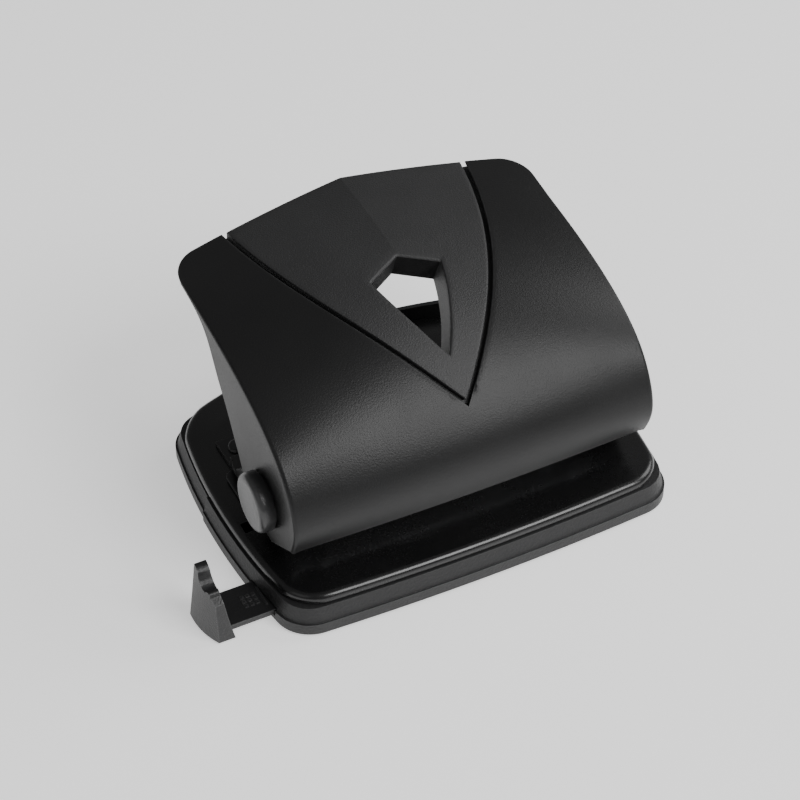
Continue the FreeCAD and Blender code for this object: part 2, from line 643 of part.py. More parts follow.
def cover_insert():
    """The plastic V: a face flush with the cover, a lip under the cover and a collar round the window.

    It is cut from one thick layer of the crowned form, first outside the V, then round the collar."""
    lip_top = COVER_SHEET + LIP_GAP
    insert = skin(0, COLLAR_DEPTH).common(insert_block(GROOVE + LIP_OVERLAP))
    insert = insert.cut(skin(-2.0, lip_top, 6.0).cut(insert_block(0)))
    insert = insert.cut(skin(lip_top + LIP_SKIN, COLLAR_DEPTH + 3.0, 8.0).cut(window_block(COLLAR_WALL)))
    insert = insert.cut(window_block(0)).cut(corner_cutter())
    for x, along in stud_places():
        insert = insert.cut(tilted_rod(x, along, STUD_RADIUS + 0.1))
    return insert


def insert_clips():
    """Weld studs under the cover, each with a push-on nut that holds the insert's lip."""
    lip_bottom = COVER_SHEET + LIP_GAP + LIP_SKIN
    reach = skin(COVER_SHEET, lip_bottom + 2.2)
    nut_layer = skin(lip_bottom, lip_bottom + 0.7)
    clips = []
    for x, along in stud_places():
        stud = reach.common(tilted_rod(x, along, STUD_RADIUS))
        nut = nut_layer.common(tilted_rod(x, along, STUD_RADIUS + 1.5))
        clips.append(stud.fuse(nut))
    return Part.makeCompound([c for clip in clips for c in clip.Solids])


# ---------------------------------------------------------------- pivot, arms and pins

def pivot_shaft():
    reach = COVER_HALF_WIDTH + SHAFT_IN_CAP
    return rod_x(-reach, reach, PIVOT_Y, PIVOT_Z, SHAFT_RADIUS)


def pivot_cap():
    x0 = COVER_HALF_WIDTH
    cap = rod_x(x0, x0 + CAP_THICKNESS, PIVOT_Y, PIVOT_Z, CAP_RADIUS)
    cap = cap.makeFillet(CAP_ROUND, [e for e in cap.Edges if e.BoundBox.XMin > x0 + CAP_THICKNESS - 0.1])
    dimple = Part.makeSphere(0.6, Vector(x0 + 1.6, PIVOT_Y - 0.62 * CAP_RADIUS, PIVOT_Z + 0.79 * CAP_RADIUS))
    return cap.cut(rod_x(x0 - 1, x0 + SHAFT_IN_CAP, PIVOT_Y, PIVOT_Z, SHAFT_RADIUS)).cut(dimple)


def shaft_clips():
    x1 = FRAME_HALF_LENGTH - FRAME_SHEET - 0.4
    ring = rod_x(x1 - CLIP_THICKNESS, x1, PIVOT_Y, PIVOT_Z, SHAFT_RADIUS + 1.8)
    ring = ring.cut(rod_x(x1 - 5, x1 + 5, PIVOT_Y, PIVOT_Z, SHAFT_RADIUS))
    return Part.makeCompound([ring, mirrored(ring)])


def pressure_arm(x):
    """Steel lever between shaft and cover; its nose pushes the pin's head down."""
    x0 = abs(x) - ARM_THICKNESS / 2
    nose_z = PIN_TOP + NOSE_GAP + NOSE_RADIUS
    outline = [(PIVOT_Y - 5.0, PIVOT_Z + 3.0), (PIVOT_Y - 6.0, PIVOT_Z + 30.0),
               (PIVOT_Y + 17.0, PIVOT_Z + 43.0), (PIVOT_Y + 33.0, PIVOT_Z + 45.0),
               (PIVOT_Y + 31.0, PIVOT_Z + 32.0), (PIN_Y + 4.8, nose_z + 6.5),
               (PIN_Y + NOSE_RADIUS, nose_z), (PIN_Y - NOSE_RADIUS, nose_z), (PIN_Y - 4.5, nose_z + 1.6),
               (PIVOT_Y + 5.2, PIVOT_Z + 3.0)]
    points = [Vector(x0, y, z) for y, z in outline]
    arm = Part.Face(Part.makePolygon(points + [points[0]])).extrude(Vector(ARM_THICKNESS, 0, 0))
    arm = arm.fuse(rod_x(x0, x0 + ARM_THICKNESS, PIVOT_Y, PIVOT_Z, HUB_RADIUS))
    arm = arm.fuse(rod_x(x0, x0 + ARM_THICKNESS, PIN_Y, nose_z, NOSE_RADIUS))
    arm = arm.cut(skin(-14.0, COVER_SHEET, 6.0))
    arm = arm.cut(rod_x(x0 - 1, x0 + 5, PIVOT_Y, PIVOT_Z, SHAFT_RADIUS))
    return arm if x > 0 else mirrored(arm)


def punch_pin(x):
    pin = rod_z(x, PIN_Y, PIN_TIP, PIN_TOP, PIN_RADIUS)
    pin = pin.makeFillet(0.5, [e for e in pin.Edges if e.BoundBox.ZMin > PIN_TOP - 0.01])
    hollow = Part.makeCylinder(PIN_RADIUS * 1.7, 20, Vector(x, PIN_Y - 10, PIN_TIP - PIN_RADIUS * 1.3),
                               Vector(0, 1, 0))
    return pin.cut(hollow)


def pin_clip(x):
    ring = rod_z(x, PIN_Y, CLIP_TOP - PIN_CLIP_THICKNESS, CLIP_TOP, BUSH_RADIUS)
    return ring.cut(rod_z(x, PIN_Y, 0, 60, PIN_RADIUS))


def return_spring(x):
    """Compression spring between the bush's collar and the pin's clip."""
    wire = SPRING_WIRE / 2
    low = GUIDE_PLATE_TOP + BUSH_COLLAR + wire
    high = CLIP_TOP - PIN_CLIP_THICKNESS - wire
    helix = Part.makeHelix((high - low) / SPRING_TURNS, high - low, SPRING_RADIUS)
    ring = Part.Wire(Part.makeCircle(wire, Vector(SPRING_RADIUS, 0, 0), Vector(0, 1, 0)))
    coil = Part.Wire(helix.Edges).makePipeShell([ring], True, True)
    coil.translate(Vector(x, PIN_Y, low))
    return coil


# ---------------------------------------------------------------- paper guide

def guide_marks():
    """Raised marks on the bar: a cross line and a three by three grid at each paper size."""
    top = GUIDE_UNDER + GUIDE_THICKNESS
    mid = GUIDE_FRONT_Y + GUIDE_WIDTH / 2
    marks = []
    for k in range(4):
        x = FIN_INNER_X + 10.6 + k * MARK_SPACING
        marks.append(box(x, x + 0.5, mid - 3.6, mid + 3.6, top - 0.2, top + MARK_HEIGHT))
        for i in range(3):
            for j in range(3):
                gx = x - 5.6 + i * 1.7
                gy = mid - 2.2 + j * 1.7
                marks.append(box(gx, gx + 1.0, gy, gy + 1.0, top - 0.2, top + MARK_HEIGHT))
    return marks


def fin():
    """End stop: a tapering upright with a bowed outer face and a scalloped top."""
    rear_y = GUIDE_FRONT_Y + GUIDE_WIDTH
    front_y = GUIDE_FRONT_Y - 1.2
    foot = 0.6
    xi, xo = FIN_INNER_X, FIN_OUTER_X

    def section(z, inner, outer, y_front, y_rear):
        edges = [Part.makeLine(Vector(inner, y_rear, z), Vector(inner - 0.4, y_front, z)),
                 Part.makeLine(Vector(inner - 0.4, y_front, z), Vector(outer + 3.2 * (inner - outer) / FIN_FOOT,
                                                                      y_front, z)),
                 arc((outer + 3.2 * (inner - outer) / FIN_FOOT, y_front, z),
                     (outer + 0.9 * (inner - outer) / FIN_FOOT, (y_front + y_rear) / 2 - 1.0, z),
                     (outer + 0.4 * (inner - outer) / FIN_FOOT, y_rear, z)),
                 Part.makeLine(Vector(outer + 0.4 * (inner - outer) / FIN_FOOT, y_rear, z),
                               Vector(inner, y_rear, z))]
        return Part.Wire(edges)

    top_inner = xi - 3.0
    blank = Part.makeLoft([section(foot, xi, xo, front_y, rear_y),
                           section(FIN_HEIGHT * 0.5, xi - 1.9, xo + 1.1, front_y + 0.6, rear_y - 0.8),
                           section(FIN_HEIGHT, top_inner, top_inner - FIN_TOP_THICKNESS, front_y + 1.6,
                                   rear_y - 2.0)], True, False)
    h = FIN_HEIGHT
    edges = [arc((0, rear_y + 1, h - 3.0), (0, rear_y - 2.6, h - 0.3), (0, rear_y - 4.8, h - 1.6)),
             arc((0, rear_y - 4.8, h - 1.6), (0, rear_y - 6.2, h - 4.6), (0, rear_y - 8.6, h - 5.4)),
             arc((0, rear_y - 8.6, h - 5.4), (0, rear_y - 9.8, h - 4.6), (0, rear_y - 10.8, h - 6.0)),
             Part.makeLine(Vector(0, rear_y - 10.8, h - 6.0), Vector(0, front_y - 2, h - 9.5)),
             Part.makeLine(Vector(0, front_y - 2, h - 9.5), Vector(0, front_y - 2, h + 5)),
             Part.makeLine(Vector(0, front_y - 2, h + 5), Vector(0, rear_y + 1, h + 5)),
             Part.makeLine(Vector(0, rear_y + 1, h + 5), Vector(0, rear_y + 1, h - 3.0))]
    crest = Part.Face(Part.Wire(edges)).extrude(Vector(30, 0, 0))
    crest.translate(Vector(xo - 5, 0, 0))
    return blank.cut(crest)


def paper_guide():
    bar = box(FIN_INNER_X - 2.0, GUIDE_INNER_X, GUIDE_FRONT_Y, GUIDE_FRONT_Y + GUIDE_WIDTH,
              GUIDE_UNDER, GUIDE_UNDER + GUIDE_THICKNESS)
    for k in range(4):
        x = DETENT_X + k * MARK_SPACING
        bar = bar.cut(rod_z(x, GUIDE_FRONT_Y + GUIDE_WIDTH + 0.5, 0, 10, 1.3))
    return fused([bar, fin()] + guide_marks())


def guide_detent_spring():
    """Leaf spring in the channel's rear wall, with a bump for the bar's notches."""
    y0 = GUIDE_FRONT_Y + GUIDE_WIDTH + GUIDE_CLEARANCE + 0.2
    z0, z1 = GUIDE_UNDER, GUIDE_UNDER + GUIDE_THICKNESS
    leaf = box(DETENT_X - LEAF_HALF_LENGTH, DETENT_X + LEAF_HALF_LENGTH, y0, y0 + LEAF_THICKNESS, z0, z1)
    bump = rod_z(DETENT_X, y0 + 0.2, z0, z1, 0.4)
    return leaf.fuse(bump)


SHAPES = {
    "bottom_frame": bottom_frame, "non_slip_mat": non_slip_mat, "chip_tray": chip_tray,
    "tray_feet": tray_feet, "tray_hinge_pins": tray_hinge_pins, "base_plate": base_plate,
    "die_plate": die_plate, "punch_frame": punch_frame, "frame_rivets": frame_rivets,
    "plate_lugs": plate_lugs, "frame_screws": frame_screws, "guide_detent_spring": guide_detent_spring,
    "handle_cover": handle_cover, "cover_insert": cover_insert, "insert_clips": insert_clips,
    "pivot_shaft": pivot_shaft, "shaft_clips": shaft_clips, "paper_guide": paper_guide,
}
for node, make in SHAPES.items():
    save(node, make())

save("pivot_cap_right", pivot_cap())
save("pivot_cap_left", mirrored(pivot_cap()))
for side, pin_x in zip(("left", "right"), PIN_XS):
    for node, make in (("pin_bush_", pin_bush), ("pressure_arm_", pressure_arm), ("punch_pin_", punch_pin),
                       ("pin_clip_", pin_clip), ("return_spring_", return_spring)):
        save(node + side, make(pin_x))
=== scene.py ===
import math

import bmesh
import bpy
import numpy as np
from mathutils import Matrix, Vector


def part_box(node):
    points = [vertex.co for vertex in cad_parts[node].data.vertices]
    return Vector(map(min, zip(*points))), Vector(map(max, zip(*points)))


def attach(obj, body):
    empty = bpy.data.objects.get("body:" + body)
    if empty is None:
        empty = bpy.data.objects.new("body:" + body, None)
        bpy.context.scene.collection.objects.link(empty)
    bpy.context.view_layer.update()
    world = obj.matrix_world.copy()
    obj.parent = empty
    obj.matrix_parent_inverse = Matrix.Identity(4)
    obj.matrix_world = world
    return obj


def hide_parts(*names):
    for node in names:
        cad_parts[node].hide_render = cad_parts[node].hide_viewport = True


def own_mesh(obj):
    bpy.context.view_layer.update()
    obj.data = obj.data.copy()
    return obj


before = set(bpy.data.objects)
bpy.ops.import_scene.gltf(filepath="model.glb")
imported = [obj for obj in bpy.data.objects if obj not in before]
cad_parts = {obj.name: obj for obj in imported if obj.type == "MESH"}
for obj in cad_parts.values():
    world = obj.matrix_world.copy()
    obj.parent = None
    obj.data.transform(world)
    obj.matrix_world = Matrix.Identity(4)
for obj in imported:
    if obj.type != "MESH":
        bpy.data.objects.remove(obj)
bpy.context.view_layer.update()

MM = 0.001


# ---- Non-slip mat and tray feet ------------------------------------------------------------------
# The punch stands on a thin moulded rubber mat let into the frame and two round feet under the
# chip tray. Black nitrile rubber, dull, with a fine cross ribbing that grips the desk.

class Wire:
    """A socket of a finish, with arithmetic that adds Math nodes."""

    def __init__(self, finish, socket):
        self.finish = finish
        self.socket = socket

    def maths(self, operation, first, second=0.0):
        return self.finish.add("Math", {"operation": operation}, {0: first, 1: second})

    def __add__(self, other):
        return self.maths("ADD", self, other)

    def __sub__(self, other):
        return self.maths("SUBTRACT", self, other)

    def __rsub__(self, other):
        return self.maths("SUBTRACT", other, self)

    def __mul__(self, other):
        return self.maths("MULTIPLY", self, other)

    def clamped(self):
        return self.maths("MAXIMUM", self.maths("MINIMUM", self, 1.0), 0.0)

    __radd__ = __add__
    __rmul__ = __mul__


class Finish:
    """One surface finish: a material that is built up node by node."""

    def __init__(self, name, metallic=0.0, specular=0.5, coat=0.0, coat_roughness=0.1):
        self.material = bpy.data.materials.new(name)
        self.material.use_nodes = True
        self.tree = self.material.node_tree
        self.tree.nodes.clear()
        self.shader = self.tree.nodes.new("ShaderNodeBsdfPrincipled")
        self.shader.inputs["Metallic"].default_value = metallic
        self.shader.inputs["Specular IOR Level"].default_value = specular
        self.shader.inputs["Coat Weight"].default_value = coat
        self.shader.inputs["Coat Roughness"].default_value = coat_roughness
        output = self.tree.nodes.new("ShaderNodeOutputMaterial")
        self.tree.links.new(self.shader.outputs[0], output.inputs[0])
        self.place = self.add("TexCoord", output="Object")

    def add(self, kind, settings=None, sockets=None, output=0):
        node = self.tree.nodes.new("ShaderNode" + kind)
        for key, value in (settings or {}).items():
            setattr(node, key, value)
        for key, value in (sockets or {}).items():
            self.put(node.inputs[key], value)
        return Wire(self, node.outputs[output])

    def put(self, socket, value):
        if isinstance(value, Wire):
            self.tree.links.new(value.socket, socket)
        else:
            socket.default_value = value

    def noise(self, size, detail=2.0, place=None, roughness=0.5):
        """Cloudy noise with features about `size` metres across, averaging a half."""
        sockets = {"Vector": place or self.place, "Scale": 1 / size, "Detail": detail, "Roughness": roughness}
        return self.add("TexNoise", {}, sockets)

    def stretched(self, x, y, z):
        """The object's own place, stretched along each axis by those factors."""
        return self.add("Mapping", {}, {"Vector": self.place, "Scale": (x, y, z)})

    def blend(self, share, low, high):
        return self.add("Mix", {"data_type": "RGBA"}, {0: share, 6: low, 7: high}, output=2)

    def bump(self, height, depth, strength=1.0):
        return self.add("Bump", {}, {"Height": height, "Distance": depth, "Strength": strength})

    def edges(self, radius):
        """1 on rounded-over edges narrower than `radius`, 0 on open faces."""
        soft = self.add("Bevel", {"samples": 4}, {"Radius": radius})
        plain = self.add("NewGeometry", output="Normal")
        dot = {"operation": "DOT_PRODUCT"}
        agreement = self.add("VectorMath", dot, {0: soft, 1: plain}, output="Value")
        return ((1 - agreement) * 6.0).clamped()

    def surface(self, colour, roughness, normal=None):
        self.put(self.shader.inputs["Base Color"], colour)
        self.put(self.shader.inputs["Roughness"], roughness)
        if normal:
            self.put(self.shader.inputs["Normal"], normal)
        return self.material


def moulded(name, colour, worn, rough, grain, depth, specular=0.5):
    """A moulded plastic or rubber: spark-eroded grain, slightly uneven gloss, edges rubbed paler."""
    finish = Finish(name, specular=specular)
    cloud = finish.noise(0.018, 3.0)
    fine = finish.noise(grain, 3.0, roughness=0.65)
    pits = finish.add("TexVoronoi", {}, {"Vector": finish.place, "Scale": 0.7 / grain})
    rubbed = finish.edges(0.0006) * (finish.noise(0.004, 4.0) * 1.6 - 0.25).clamped()
    shade = finish.blend((cloud * 0.7 + fine * 0.3).clamped(), (*[c * 0.8 for c in colour], 1),
                         (*[c * 1.25 for c in colour], 1))
    tint = finish.blend((rubbed * 0.6).clamped(), shade, (*worn, 1))
    relief = fine * 0.65 + pits * 0.35
    return finish.surface(tint, cloud * 0.10 + fine * 0.08 + rubbed * -0.10 + (rough - 0.09),
                          finish.bump(relief, depth))


RUBBER = moulded("ribbed rubber", (0.018, 0.018, 0.018), (0.04, 0.04, 0.04), 0.85, 0.0004, 0.00012)


def eased(piece, width, segments=2, angle=50):
    """Rounds a piece's edges sharper than `angle` degrees by `width` metres."""
    ease = piece.modifiers.new("eased edges", "BEVEL")
    ease.width = width
    ease.segments = segments
    ease.limit_method = "ANGLE"
    ease.angle_limit = math.radians(angle)
    ease.use_clamp_overlap = True
    ease.harden_normals = True
    return piece


def soft_edged(node, width, finish, body):
    """The CAD part as a clean mesh, its sharp edges eased by `width` metres."""
    shape = bmesh.new()
    shape.from_mesh(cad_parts[node].data)
    bmesh.ops.remove_doubles(shape, verts=shape.verts[:], dist=2e-6)
    bmesh.ops.dissolve_limit(shape, angle_limit=math.radians(0.4), verts=shape.verts[:],
                             edges=shape.edges[:], delimit={"NORMAL"})
    piece = eased(finished(shape, node + "_piece", finish), width, angle=28)
    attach(piece, body)
    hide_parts(node)


def finished(shape, name, finish, sharp=40):
    """An object from a bmesh, smooth-shaded but for edges sharper than `sharp` degrees."""
    for face in shape.faces:
        face.smooth = True
    for edge in shape.edges:
        if len(edge.link_faces) == 2 and edge.calc_face_angle(0.0) > math.radians(sharp):
            edge.smooth = False
    mesh = bpy.data.meshes.new(name)
    shape.to_mesh(mesh)
    shape.free()
    piece = bpy.data.objects.new(name, mesh)
    bpy.context.scene.collection.objects.link(piece)
    mesh.materials.append(finish)
    return piece


soft_edged("non_slip_mat", 0.00015, RUBBER, "base")
soft_edged("tray_feet", 0.00015, RUBBER, "tray")


# ---- Bottom frame, chip tray and their hinge pins -------------------------------------------------
# Two injection-moulded polypropylene parts close the punch's underside: the frame with the guide's
# channel in front, the chip tray behind, swinging down on two steel pins. Finely textured black.

RIM_BLACK = moulded("textured black polypropylene", (0.016, 0.016, 0.0165), (0.075, 0.075, 0.077), 0.52,
                    0.0006, 0.0002)
soft_edged("bottom_frame", 0.0003, RIM_BLACK, "base")
soft_edged("chip_tray", 0.0003, RIM_BLACK, "tray")


def metal(name, colour, rough, streaks):
    """Bare or plated steel: fine drawing marks along one axis, dull patches, edges rubbed smoother."""
    finish = Finish(name, metallic=1.0)
    marks = finish.noise(0.0012, 4.0, finish.stretched(*streaks), 0.7)
    patches = finish.noise(0.006, 3.0)
    rubbed = finish.edges(0.0003)
    tint = finish.blend((patches * 0.6 + marks * 0.4).clamped(), (*[c * 0.72 for c in colour], 1),
                        (*[min(1.0, c * 1.12) for c in colour], 1))
    return finish.surface(tint, marks * 0.16 + patches * 0.14 + rubbed * -0.08 + (rough - 0.15),
                          finish.bump(marks, 0.00003, 0.6))


def refinished(node, finish):
    """A CAD part whose shape already is the real one's: only its surface is new."""
    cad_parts[node].data.materials[0] = finish


ZINC = metal("zinc plated steel", (0.60, 0.61, 0.63), 0.34, (1.0, 8.0, 8.0))
refinished("tray_hinge_pins", ZINC)


# ---- Steel base plate -----------------------------------------------------------------------------
# Deep-drawn 1.2 mm sheet steel over the frame: a rolled skirt, a soft sloping border and a flat top,
# in thick gloss black enamel. Pierced with a notch at each end and a round chip hole under each pin.

SHEET = 0.0012
ROUND_STEPS = 96
BASE_HALF_WIDTH, BASE_HALF_DEPTH, BASE_CORNER = 60.0, 44.0, 11.0
END_BOW, REAR_BOW, FRONT_BOW = 4.3, 12.5, 2.1
STRAIGHT = 0.3
SKIRT_INSET, SKIRT_FOOT, SKIRT_TOP = 2.3, 9.65, 10.3
BORDER_ROLL = 1.9
PLATE_TOP = 13.0
NOTCH_X, NOTCH_Y = (56.6, 59.5), (-10.5, -6.5)
PIN_X, PIN_Y = 40.0, 1.0
CHIP_HOLE, HOLE_SIDES = 3.95, 16


def formed_sheet(columns, rows, place):
    """A grid whose every corner goes where place(u, v) says; corners it leaves out are removed."""
    shape = bmesh.new()
    bmesh.ops.create_grid(shape, x_segments=columns, y_segments=rows, size=0.5)
    unused = []
    for corner in shape.verts:
        spot = place(round((corner.co.x + 0.5) * columns), round((corner.co.y + 0.5) * rows))
        if spot is None:
            unused.append(corner)
        else:
            corner.co = Vector(spot) * MM
    bmesh.ops.delete(shape, geom=unused, context="VERTS")
    bmesh.ops.remove_doubles(shape, verts=shape.verts[:], dist=1e-6)
    return shape


def base_outline(share, inset):
    """A point `share` of the way round the base's rounded and bowed outline, drawn in by `inset`."""
    half_width, half_depth = BASE_HALF_WIDTH - inset, BASE_HALF_DEPTH - inset
    corner = BASE_CORNER - 0.8 * inset
    quarter, step = divmod(share * 4, 1)
    step = 1 - step if quarter % 2 else step
    turn = math.pi / 2 * min(max((step - STRAIGHT) / (1 - 2 * STRAIGHT), 0.0), 1.0)
    x, y = half_width - corner + corner * math.cos(turn), half_depth - corner + corner * math.sin(turn)
    if step < STRAIGHT:
        y *= step / STRAIGHT
    elif step > 1 - STRAIGHT:
        x *= (1 - step) / STRAIGHT
    bow = REAR_BOW if quarter < 2 else FRONT_BOW
    out_x = END_BOW * (1 - (y / half_depth) ** 2) * x / half_width
    out_y = bow * (1 - (x / half_width) ** 2) * y / half_depth
    return (x + out_x) * (-1 if quarter in (1, 2) else 1), (y + out_y) * (1 if quarter < 2 else -1)


def pressed_border():
    """The plate's edge in section, as (distance in from the skirt, height), from the skirt upward."""
    rolled = [(BORDER_ROLL * (1 - math.cos(turn)), SKIRT_TOP + BORDER_ROLL * math.sin(turn))
              for turn in np.linspace(0, math.pi / 2, 8)]
    slope = [(3.2, 12.32), (5.0, 12.5), (6.8, 12.72), (8.0, 12.9), (9.0, 12.985), (10.6, PLATE_TOP)]
    return [(0.0, SKIRT_FOOT)] + rolled + slope


BORDER = pressed_border()


def on_plate(u, v):
    """A corner of the plate: u goes round the outline, v from the skirt's foot in to the flat top."""
    inset, height = BORDER[v]
    return *base_outline(u / ROUND_STEPS, SKIRT_INSET + inset), height


plate_form = formed_sheet(ROUND_STEPS, len(BORDER) - 1, on_plate)
inner = [edge for edge in plate_form.edges
         if edge.is_boundary and edge.verts[0].co.z > (PLATE_TOP - 0.1) * MM]
bmesh.ops.edgeloop_fill(plate_form, edges=inner)


def scored(faces, at, facing):
    """Scores the line of a plane, through `at` and facing `facing`, across some of the plate's faces."""
    parts = {part for face in faces for part in (face, *face.edges, *face.verts)}
    bmesh.ops.bisect_plane(plate_form, geom=list(parts), plane_co=at, plane_no=facing, dist=1e-7)


def in_notch(face):
    """Whether a face of the plate lies in one of the two end notches."""
    middle = face.calc_center_median() / MM
    return NOTCH_X[0] < abs(middle.x) < NOTCH_X[1] and NOTCH_Y[0] < middle.y < NOTCH_Y[1]


def nearest_face(spot):
    """The plate's face whose middle is nearest to a spot."""
    return min(plate_form.faces, key=lambda face: (face.calc_center_median() - spot).length)


for cut_x in (-NOTCH_X[1], -NOTCH_X[0], *NOTCH_X):
    scored(plate_form.faces[:], Vector((cut_x * MM, 0, 0)), Vector((1, 0, 0)))
for cut_y in NOTCH_Y:
    scored(plate_form.faces[:], Vector((0, cut_y * MM, 0)), Vector((0, 1, 0)))
bmesh.ops.delete(plate_form, geom=[face for face in plate_form.faces if in_notch(face)], context="FACES")
for side in (-1, 1):
    pin = Vector((side * PIN_X, PIN_Y, PLATE_TOP)) * MM
    for step in sorted(range(HOLE_SIDES), key=lambda step: step % 4 > 0):
        turn = step * 2 * math.pi / HOLE_SIDES
        facing = Vector((math.cos(turn), math.sin(turn), 0))
        faces = [nearest_face(pin)] if step % 4 else plate_form.faces[:]
        scored(faces, pin + facing * CHIP_HOLE * MM, facing)
    bmesh.ops.delete(plate_form, geom=[nearest_face(pin)], context="FACES")
bmesh.ops.recalc_face_normals(plate_form, faces=plate_form.faces[:])


CLOUDING = 0.12


def painted(name, colour, rough, peel_size, peel_depth, specular=0.5, coat=0.0, coat_roughness=0.1):
    """Baked paint on steel: orange peel, slightly uneven gloss and edges rubbed a shade paler."""
    finish = Finish(name, specular=specular, coat=coat, coat_roughness=coat_roughness)
    cloud = finish.noise(0.025, 3.0)
    peel = finish.noise(peel_size, 2.5, roughness=0.6)
    rubbed = finish.edges(0.0007) * (finish.noise(0.003, 4.0) * 1.8 - 0.35).clamped()
    shade = finish.blend((cloud * 0.6 + peel * 0.4).clamped(), (*[c * 0.8 for c in colour], 1),
                         (*[c * 1.2 for c in colour], 1))
    tint = finish.blend((rubbed * 0.5).clamped(), shade, (0.11, 0.11, 0.112, 1))
    gloss = cloud * CLOUDING + peel * 0.06 + rubbed * 0.1 + (rough - CLOUDING / 2 - 0.03)
    return finish.surface(tint, gloss, finish.bump(peel, peel_depth))


def thick(piece, wall, edge=0.0002, segments=2, angle=50):
    """Gives a formed sheet its wall, inward from its outer face, and eases the wall's cut edges."""
    gauge = piece.modifiers.new("sheet thickness", "SOLIDIFY")
    gauge.thickness = wall
    gauge.offset = -1
    gauge.use_even_offset = False
    return eased(piece, edge, segments, angle)


ENAMEL = painted("gloss black enamel", (0.006, 0.006, 0.0062), 0.27, 0.0016, 0.000012,
                 coat=0.2, coat_roughness=0.12)
plate = thick(finished(plate_form, "base_plate_pressing", ENAMEL), SHEET)
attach(plate, "base")
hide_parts("base_plate")


# ---- Die plate, punch frame, rivets, lugs and screws ------------------------------------------------
# The die strip carries the paper over the two die holes; the folded punch frame above it is riveted to
# the plate behind the paper stop and carries the shaft in its ears. Semi-gloss black, zinc fasteners.

JAW_PAINT = painted("semi-gloss black paint", (0.014, 0.014, 0.0145), 0.3, 0.0007, 0.00002)
soft_edged("die_plate", 0.0002, JAW_PAINT, "base")
soft_edged("punch_frame", 0.00025, JAW_PAINT, "base")
TOOL_STEEL = metal("ground tool steel", (0.50, 0.50, 0.51), 0.24, (1.0, 1.0, 9.0))
refinished("frame_rivets", JAW_PAINT)
refinished("plate_lugs", ZINC)
refinished("frame_screws", ZINC)
for node in ("pin_bush_left", "pin_bush_right"):
    refinished(node, TOOL_STEEL)


# ---- Punch pins, clips and return springs -----------------------------------------------------------
# Ground and hardened pins with a hollow-ground cutting end, a pressed clip ring on each, and a
# compression spring of drawn music wire with closed ends between the bush and the clip, which at full
# stroke is pressed to a little under half its length.

for node in ("punch_pin_left", "punch_pin_right"):
    refinished(node, TOOL_STEEL)
for node in ("pin_clip_left", "pin_clip_right"):
    refinished(node, ZINC)
COIL_WIRE, CLOSED_RISE, COIL_STEPS = 0.0005, 0.0009, 40
SPRING_WIRE = metal("drawn spring wire", (0.42, 0.42, 0.43), 0.3, (3.0, 3.0, 3.0))
for side in ("left", "right"):
    low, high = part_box("return_spring_" + side)
    middle_x, middle_y = (low.x + high.x) / 2, (low.y + high.y) / 2
    coil_radius = (high.x - low.x) / 2 - COIL_WIRE
    first = Matrix.Translation((middle_x + coil_radius, middle_y, low.z + COIL_WIRE))
    coil = bmesh.new()
    bmesh.ops.create_circle(coil, segments=12, radius=COIL_WIRE,
                            matrix=first @ Matrix.Rotation(math.pi / 2, 4, "X"))
    leading = coil.edges[:]
    rise = high.z - low.z - 2 * COIL_WIRE
    for turns, climb in ((0.9, CLOSED_RISE), (3.2, rise - 2 * CLOSED_RISE), (0.9, CLOSED_RISE)):
        steps = int(turns * COIL_STEPS)
        spun = bmesh.ops.spin(coil, geom=leading + list({v for e in leading for v in e.verts}),
                              cent=(middle_x, middle_y, 0), axis=(0, 0, 1), dvec=(0, 0, climb / steps),
                              angle=turns * 2 * math.pi, steps=steps)
        leading = [item for item in spun["geom_last"] if isinstance(item, bmesh.types.BMEdge)]
    bmesh.ops.remove_doubles(coil, verts=coil.verts[:], dist=1e-6)
    bmesh.ops.holes_fill(coil, edges=[edge for edge in coil.edges if edge.is_boundary])
    bmesh.ops.recalc_face_normals(coil, faces=coil.faces[:])
    spring = finished(coil, "return_spring_coil_" + side, SPRING_WIRE, 60)
    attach(spring, "base")
    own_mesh(spring)
    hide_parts("return_spring_" + side)


# ---- Paper guide and its detent leaf ----------------------------------------------------------------
# A moulded ABS rule with raised format marks slides out of the frame's left side; its upright end
# stops the sheet. A leaf spring in the channel clicks into notches along its rear edge.

GUIDE_BLACK = moulded("matte black guide plastic", (0.012, 0.012, 0.0125), (0.14, 0.14, 0.142), 0.4,
                      0.0005, 0.00012)
soft_edged("paper_guide", 0.0003, GUIDE_BLACK, "guide")
refinished("guide_detent_spring", SPRING_WIRE)


# ---- Shaft, pressure arms and shaft clips -----------------------------------------------------------
# A turned 6 mm steel shaft through the frame's ears, kept by two snap rings; two blanked steel levers
# welded between shaft and cover push the pins down. Everything zinc plated.

refinished("pivot_shaft", ZINC)
refinished("shaft_clips", ZINC)
for side in ("left", "right"):
    soft_edged("pressure_arm_" + side, 0.0003, ZINC, "handle")


# ---- Handle cover -----------------------------------------------------------------------------------
# The handle's outer skin: 1.2 mm sheet steel pressed to a crowned form with folded side flanges, a
# narrow set-back band along the lower front edge and a V-shaped opening at the top. Satin black powder paint.

END_LINE = ((44.0, 68.2), (21.8, 65.7), (3.3, 62.6), (-12.5, 58.2),
            (-25.3, 51.8), (-33.4, 43.0), (-36.6, 32.5), (-33.6, 23.0))
MID_LINE = ((50.0, 75.4), (30.2, 74.8), (11.6, 72.3), (-4.8, 67.6),
            (-18.4, 60.2), (-29.9, 50.2), (-37.4, 38.6), (-37.2, 25.6))
HALF_COVER = 55.8
CREASE, CREASE_END = 0.7, 0.685
LAST = len(END_LINE) - 1
BENDING = np.eye(LAST + 1)
for i in range(1, LAST):
    BENDING[i, i - 1:i + 2] = (1, 4, 1)
CURVING = np.zeros((LAST + 1, LAST + 1))
for i in range(1, LAST):
    CURVING[i, i - 1:i + 2] = (6, -12, 6)
CURVING = np.linalg.solve(BENDING, CURVING)


